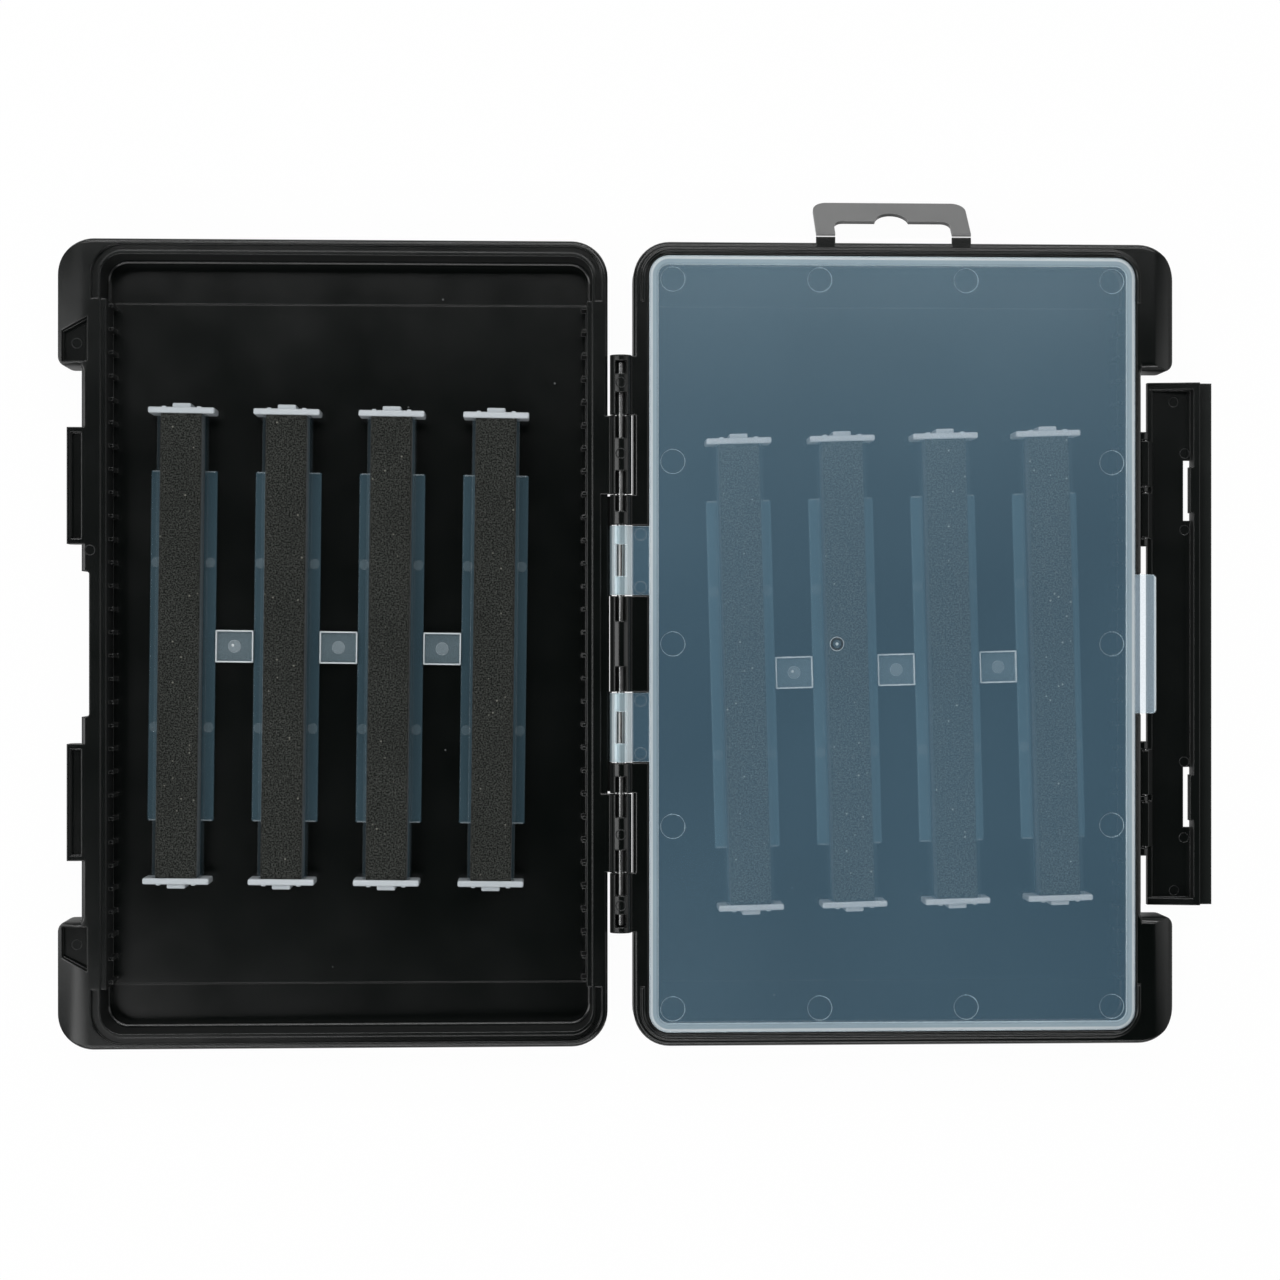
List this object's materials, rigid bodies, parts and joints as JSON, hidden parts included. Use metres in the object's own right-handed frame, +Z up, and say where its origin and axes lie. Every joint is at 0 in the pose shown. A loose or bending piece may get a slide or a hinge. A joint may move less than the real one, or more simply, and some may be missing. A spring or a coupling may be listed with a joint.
{
  "type": "lure case",
  "caption": "Flat hinged fishing lure case, lying open, with a translucent inner cover, loose foam racks, a long latch bar and a folded hang tab.",
  "frame": {"origin": "centre of the base tray's outer floor face", "axes": "+X from the hinge towards the latch across the open case, +Y along the hinge towards the hang tab, +Z up out of the open trays"},
  "size_m": [0.2968, 0.217, 0.0153],
  "materials": {
    "black_shell": "fine satin, moulded",
    "black_latch": "fine satin, moulded",
    "tab_sheet": "smooth sheet",
    "frosted_cover": "translucent, slightly frosted",
    "clear_rack": "translucent, moulded",
    "grey_foam": "closed-cell foam with a fine speckle",
    "steel_rod": "drawn"
  },
  "bodies": {
    "base": {"base_tray": "black_shell", "hinge_rod": "steel_rod"},
    "lid": {"lid_tray": "black_shell"},
    "inner_cover": {"inner_cover": "frosted_cover"},
    "latch": {"latch": "black_latch"},
    "hang_tab": {"hang_tab": "tab_sheet"},
    "base_rack": {"base_rack": "clear_rack", "base_foam_1": "grey_foam", "base_foam_2": "grey_foam", "base_foam_3": "grey_foam", "base_foam_4": "grey_foam"},
    "lid_rack": {"lid_rack": "clear_rack", "lid_foam_1": "grey_foam", "lid_foam_2": "grey_foam", "lid_foam_3": "grey_foam", "lid_foam_4": "grey_foam"}
  },
  "joints": [
    {"name": "lid_hinge", "type": "hinge", "parent": "base", "child": "lid", "pos_m": [-0.0685, 0, 0.0125], "axis": [0, 1, 0], "range_deg": [0, 180]},
    {"name": "cover_hinge", "type": "hinge", "parent": "base", "child": "inner_cover", "pos_m": [-0.0685, 0, 0.0125], "axis": [0, -1, 0], "range_deg": [0, 175]},
    {"name": "latch_hinge", "type": "hinge", "parent": "base", "child": "latch", "pos_m": [0.0669, 0, 0.0063], "axis": [0, -1, 0], "range_deg": [0, 90]},
    {"name": "tab_fold", "type": "hinge", "parent": "base", "child": "hang_tab", "pos_m": [0.0013, 0.1047, 0.01195], "axis": [1, 0, 0], "range_deg": [0, 48]},
    {"name": "base_rack_slide", "type": "slide", "parent": "base", "child": "base_rack", "axis": [0, 1, 0], "range_m": [-0.028, 0.04]},
    {"name": "lid_rack_slide", "type": "slide", "parent": "lid", "child": "lid_rack", "axis": [0, 1, 0], "range_m": [-0.033, 0.035]}
  ]
}
